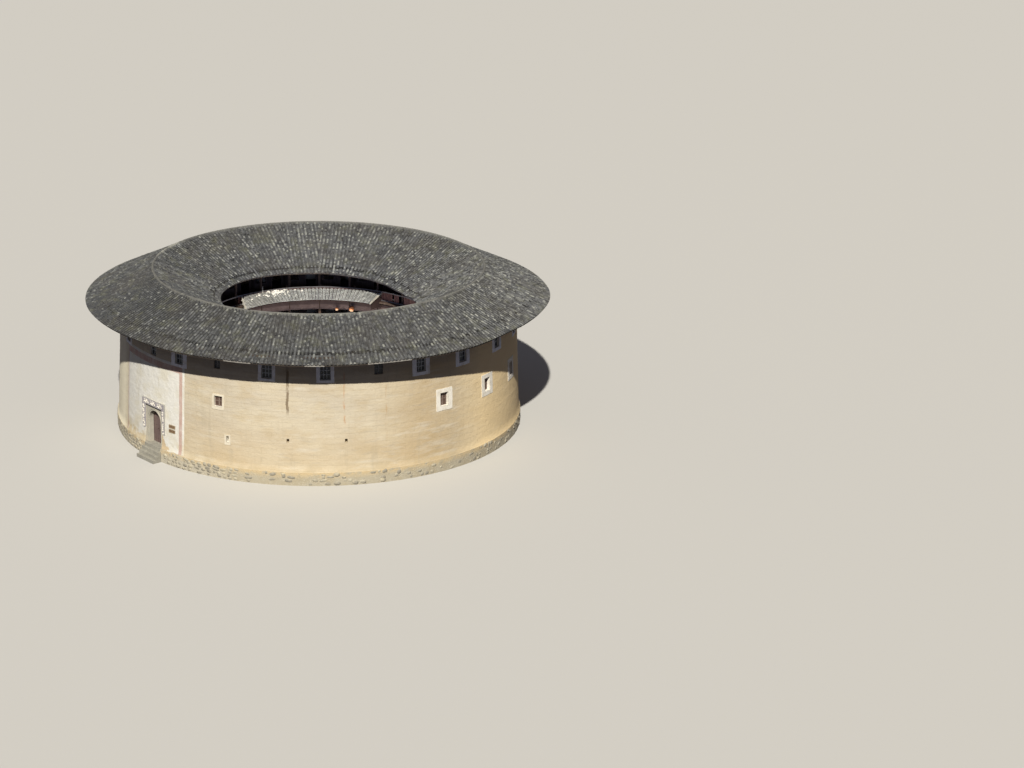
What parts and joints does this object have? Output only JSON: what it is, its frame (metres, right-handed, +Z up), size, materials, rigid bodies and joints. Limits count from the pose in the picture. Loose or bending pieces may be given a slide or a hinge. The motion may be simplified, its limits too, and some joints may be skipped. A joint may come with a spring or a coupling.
{
  "type": "tulou roundhouse",
  "caption": "Round rammed-earth courtyard house with a tiled ring roof, timber galleries round an open yard, and a stone-arched gate with two pivoted leaves.",
  "frame": {"origin": "centre of the ring on the ground, under the middle of the bounding box", "axes": "+Z up; the gate faces -Y; +X to the right of somebody who faces the gate"},
  "size_m": [37.08, 37.0802, 13.06],
  "materials": {
    "earth": "matt rammed earth in horizontal lifts",
    "plaster": "matt lime render, weathered",
    "rubble": "rough rubble with lime pointing",
    "dressed_stone": "dressed granite, worn",
    "tile": "unglazed grey clay tile with lichen",
    "capping": "lime mortar and tile capping",
    "timber": "old brown timber, unpainted",
    "door": "weathered boards with worn paint"
  },
  "bodies": {
    "house": {"balustrade_second": "timber", "balustrade_third": "timber", "floor_beams_second": "timber", "floor_beams_third": "timber", "gallery_frame_ground": "timber", "gallery_frame_second": "timber", "gallery_frame_third": "timber", "gate_band": "plaster", "gate_lintel": "timber", "gate_render": "plaster", "gate_step_1": "dressed_stone", "gate_step_2": "dressed_stone", "gate_step_3": "dressed_stone", "gate_surround": "dressed_stone", "gate_threshold": "dressed_stone", "ground_floor": "dressed_stone", "inner_eave_frame": "timber", "name_board": "timber", "outer_eave_frame": "timber", "outer_wall_1": "earth", "outer_wall_2": "earth", "outer_wall_3": "earth", "outer_wall_4": "earth", "outer_wall_5": "earth", "outer_wall_6": "earth", "outer_wall_7": "earth", "outer_wall_gate_left": "earth", "outer_wall_gate_right": "earth", "outer_wall_over_gate": "earth", "ridge_cap": "capping", "roof_inner_slope_1": "tile", "roof_inner_slope_2": "tile", "roof_inner_slope_3": "tile", "roof_inner_slope_4": "tile", "roof_inner_slope_5": "tile", "roof_inner_slope_6": "tile", "roof_outer_slope_1": "tile", "roof_outer_slope_2": "tile", "roof_outer_slope_3": "tile", "roof_outer_slope_4": "tile", "roof_outer_slope_5": "tile", "roof_outer_slope_6": "tile", "room_front_ground": "timber", "room_front_second": "timber", "room_front_third": "timber", "second_floor": "timber", "skirt_roof": "tile", "stone_footing": "rubble", "third_floor": "timber"},
    "leaf_left": {"gate_leaf_left": "door"},
    "leaf_right": {"gate_leaf_right": "door"}
  },
  "joints": [
    {"name": "gate_left_hinge", "type": "hinge", "parent": "house", "child": "leaf_left", "pos_m": [-0.945, -15.695, 2.52], "axis": [0, 0, 1], "range_deg": [0, 90]},
    {"name": "gate_right_hinge", "type": "hinge", "parent": "house", "child": "leaf_right", "pos_m": [0.945, -15.695, 2.52], "axis": [0, 0, -1], "range_deg": [0, 90]}
  ]
}
